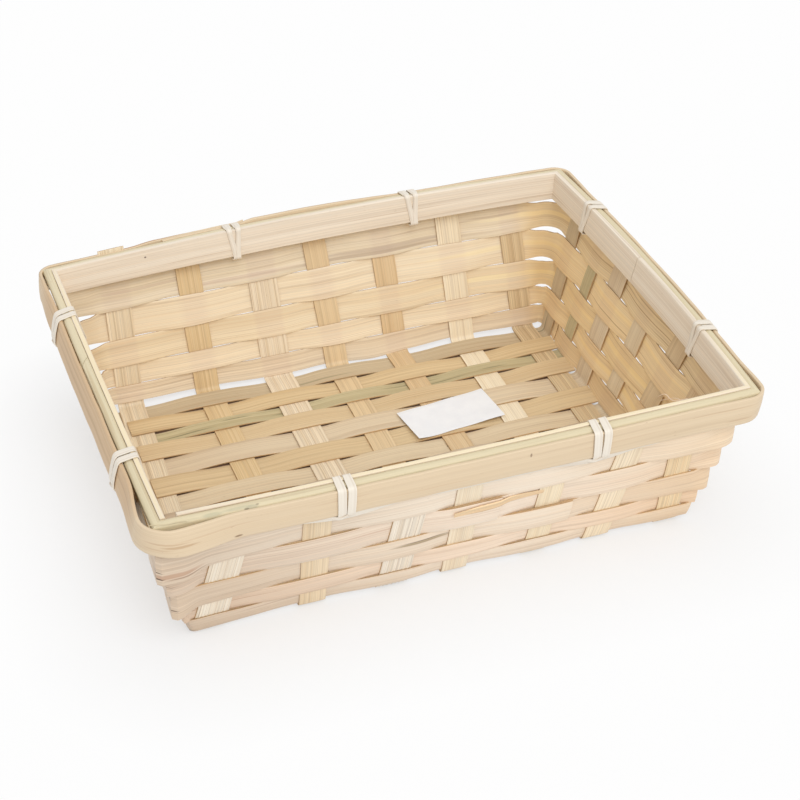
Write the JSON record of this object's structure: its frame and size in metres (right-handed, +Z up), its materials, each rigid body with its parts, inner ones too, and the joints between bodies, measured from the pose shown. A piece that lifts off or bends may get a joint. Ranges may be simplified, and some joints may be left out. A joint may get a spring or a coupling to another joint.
{
  "type": "bamboo basket",
  "caption": "Open rectangular basket, plain woven from flat bamboo strips, with flared walls and a lath rim bound by a flat strip.",
  "frame": {"origin": "on the ground under the centre of the basket's outer bounds", "axes": "+X along the long sides, +Y from the front to the back, +Z up out of the open top"},
  "size_m": [0.2422, 0.1984, 0.0696],
  "materials": {
    "bamboo_pale": "satin",
    "bamboo_tan": "satin",
    "bamboo_dark": "satin",
    "bamboo_grey": "satin",
    "bamboo_cream": "satin",
    "bamboo_green": "satin",
    "bamboo_peach": "satin",
    "lashing_white": "satin",
    "label_paper": "matte"
  },
  "bodies": {
    "root": {"cross_strip_1": "bamboo_pale", "cross_strip_2": "bamboo_tan", "cross_strip_3": "bamboo_pale", "cross_strip_4": "bamboo_tan", "cross_strip_5": "bamboo_tan", "cross_strip_6": "bamboo_pale", "cross_strip_7": "bamboo_dark", "long_strip_01": "bamboo_grey", "long_strip_02": "bamboo_tan", "long_strip_03": "bamboo_grey", "long_strip_04": "bamboo_tan", "long_strip_05": "bamboo_grey", "long_strip_06": "bamboo_tan", "long_strip_07": "bamboo_pale", "long_strip_08": "bamboo_grey", "long_strip_09": "bamboo_tan", "long_strip_10": "bamboo_tan", "long_strip_11": "bamboo_tan", "long_strip_12": "bamboo_tan", "side_strip_1": "bamboo_cream", "side_strip_2": "bamboo_cream", "side_strip_3": "bamboo_cream", "side_strip_4": "bamboo_cream", "side_strip_5": "bamboo_cream", "rim_core_lath": "bamboo_green", "rim_inner_lath_front": "bamboo_pale", "rim_inner_lath_back": "bamboo_pale", "rim_outer_lath": "bamboo_peach", "rim_lashing": "lashing_white", "price_label": "label_paper"}
  },
  "joints": []
}
